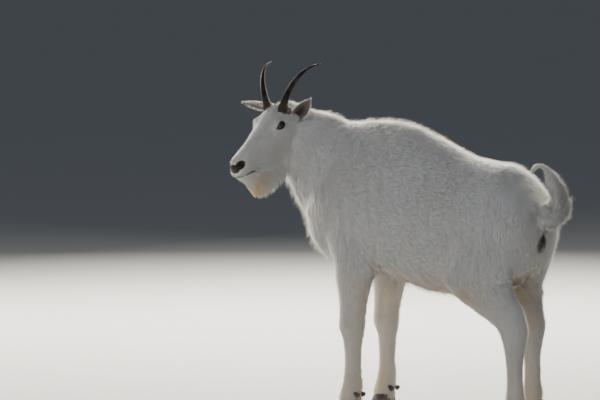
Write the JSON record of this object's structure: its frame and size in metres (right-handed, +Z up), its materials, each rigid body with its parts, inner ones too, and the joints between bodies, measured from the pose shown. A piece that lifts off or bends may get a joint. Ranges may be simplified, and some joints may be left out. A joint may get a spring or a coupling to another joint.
{
  "type": "mountain goat model",
  "caption": "Still, life-size model of an adult female mountain goat, standing with its head turned to its left and its tail raised.",
  "frame": {"origin": "on the floor, at the middle of the model's box seen from above", "axes": "+Z up, the body faces -Y, the animal's left side is +X"},
  "size_m": [0.5066, 1.0816, 1.0374],
  "materials": {
    "coat": "soft cream-white hair, matt",
    "ear": "short grey-brown hair, matt",
    "horn": "black horn, satin, ringed near the foot",
    "hoof": "dark hoof horn, satin",
    "eye": "wet dark brown"
  },
  "bodies": {
    "root": {"torso": "coat", "neck": "coat", "head": "coat", "tail": "coat", "eye_left": "eye", "eye_right": "eye", "horn_left": "horn", "horn_right": "horn", "ear_left": "ear", "ear_right": "ear", "leg_front_left": "coat", "leg_front_right": "coat", "leg_hind_left": "coat", "leg_hind_right": "coat", "hoof_front_left_outer": "hoof", "hoof_front_left_inner": "hoof", "hoof_front_right_outer": "hoof", "hoof_front_right_inner": "hoof", "hoof_hind_left_outer": "hoof", "hoof_hind_left_inner": "hoof", "hoof_hind_right_outer": "hoof", "hoof_hind_right_inner": "hoof", "dewclaw_front_left_outer": "hoof", "dewclaw_front_left_inner": "hoof", "dewclaw_front_right_outer": "hoof", "dewclaw_front_right_inner": "hoof", "dewclaw_hind_left_outer": "hoof", "dewclaw_hind_left_inner": "hoof", "dewclaw_hind_right_outer": "hoof", "dewclaw_hind_right_inner": "hoof"}
  },
  "joints": []
}
